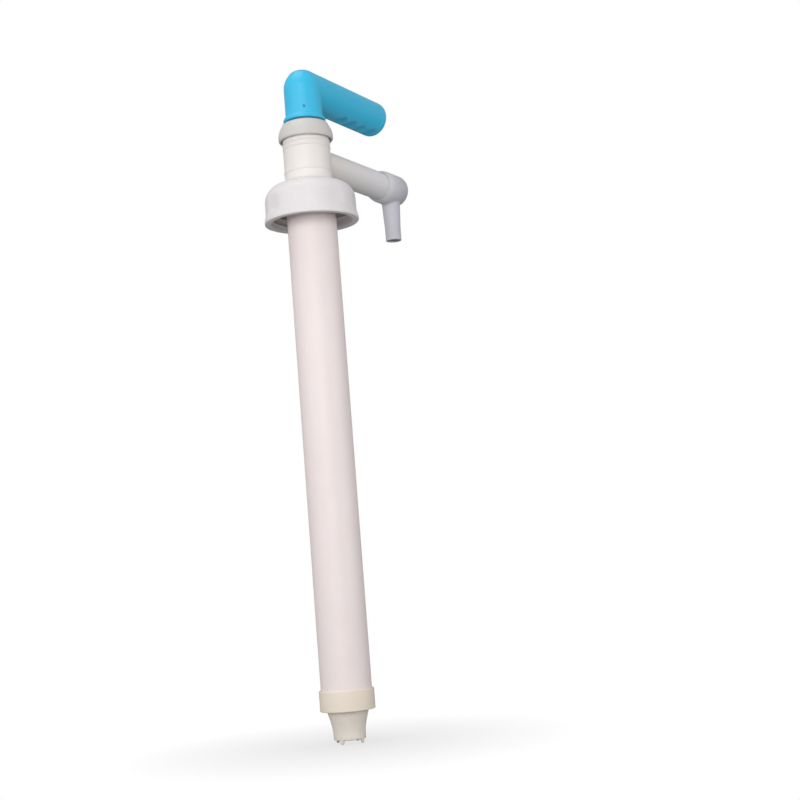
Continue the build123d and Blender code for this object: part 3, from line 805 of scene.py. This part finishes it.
def pale_floor():
    """Pale floor just under the foot, which fades into the white surround."""
    gap = 0.5 * MM
    floor = primitive(bpy.ops.mesh.primitive_circle_add, vertices=96, radius=4,
                      fill_type="NGON", location=(0, 0, cad_box[0][2] - gap))
    floor.name = "floor"
    material = emptied(bpy.data.materials.new("pale_floor"))
    place = node(material, "ShaderNodeTexCoord")
    far = node(material, "ShaderNodeVectorMath", {"operation": "LENGTH"},
               {0: (place, "Object")})
    fade = node(material, "ShaderNodeMapRange",
                {"From Min": 0.02, "From Max": 0.15, "To Min": 0.75, "To Max": 1.0},
                {"Value": (far, "Value")})
    glow = node(material, "ShaderNodeEmission", {"Color": WHITE})
    matt = node(material, "ShaderNodeBsdfDiffuse", {"Color": linear("#A4A4A3")})
    seen = node(material, "ShaderNodeLightPath")
    share = node(material, "ShaderNodeMath", {"operation": "MULTIPLY"},
                 {0: (seen, "Is Camera Ray"), 1: (fade, "Result")})
    both = node(material, "ShaderNodeMixShader", None,
                {0: (share, "Value"), 1: (matt, "BSDF"), 2: (glow, "Emission")})
    node(material, "ShaderNodeOutputMaterial", None, {"Surface": (both, "Shader")})
    floor.data.materials.append(material)


def soft_box(name, place, target, size, power):
    """Large soft light aimed at a point."""
    bpy.ops.object.light_add(type="AREA", location=place)
    lamp = bpy.context.object
    lamp.name = name
    lamp.data.shape = "SQUARE"
    lamp.data.size = size
    lamp.data.energy = power
    aim = Vector(target) - Vector(place)
    lamp.rotation_euler = aim.to_track_quat("-Z", "Y").to_euler()


def studio():
    """Even surround, seen as white, with a key light near the camera and three weaker lights."""
    world = emptied(bpy.data.worlds.new("studio"))
    bpy.context.scene.world = world
    seen = node(world, "ShaderNodeLightPath")
    surround = node(world, "ShaderNodeBackground", {"Color": WHITE, "Strength": 0.40})
    backdrop = node(world, "ShaderNodeBackground", {"Color": WHITE, "Strength": 1.0})
    mix = node(world, "ShaderNodeMixShader", None,
               {0: (seen, "Is Camera Ray"), 1: (surround, "Background"),
                2: (backdrop, "Background")})
    node(world, "ShaderNodeOutputWorld", None, {"Surface": (mix, "Shader")})
    middle = (0, 0, -0.12)
    soft_box("key", (-1.29, -0.47, 0.0), middle, size=1.1, power=11.2)
    soft_box("fill", (0.05, -1.4, -0.2), middle, size=1.0, power=8.2)
    soft_box("edge", (-1.25, 0.6, 0.1), middle, size=0.8, power=4.4)
    soft_box("top", (-0.3, 0.2, 1.3), middle, size=0.8, power=4.4)


def camera():
    """Camera low down in front of the handle's leg, looking up at the head."""
    distance = 0.9531
    azimuth = math.radians(-57.3)
    height = cad_box[0][2] + 0.112
    aside = math.radians(-3.045)            # turned away from the pump's axis
    upward = 0.1173                         # in radians, above the level
    lean = -0.0799                          # in radians, about the line of sight
    data = bpy.data.cameras.new("camera")
    data.lens = 63.65
    data.sensor_width = 36
    viewer = bpy.data.objects.new("camera", data)
    bpy.context.scene.collection.objects.link(viewer)
    place = Matrix.Translation(
        (distance * math.sin(azimuth), -distance * math.cos(azimuth), height))
    heading = Matrix.Rotation(azimuth + aside, 4, "Z")
    pitch = Matrix.Rotation(math.radians(90) + upward, 4, "X")
    roll = Matrix.Rotation(lean, 4, "Z")
    viewer.matrix_world = place @ heading @ pitch @ roll
    bpy.context.scene.camera = viewer


pale_floor()
studio()
camera()
bpy.context.scene.view_settings.view_transform = "Standard"
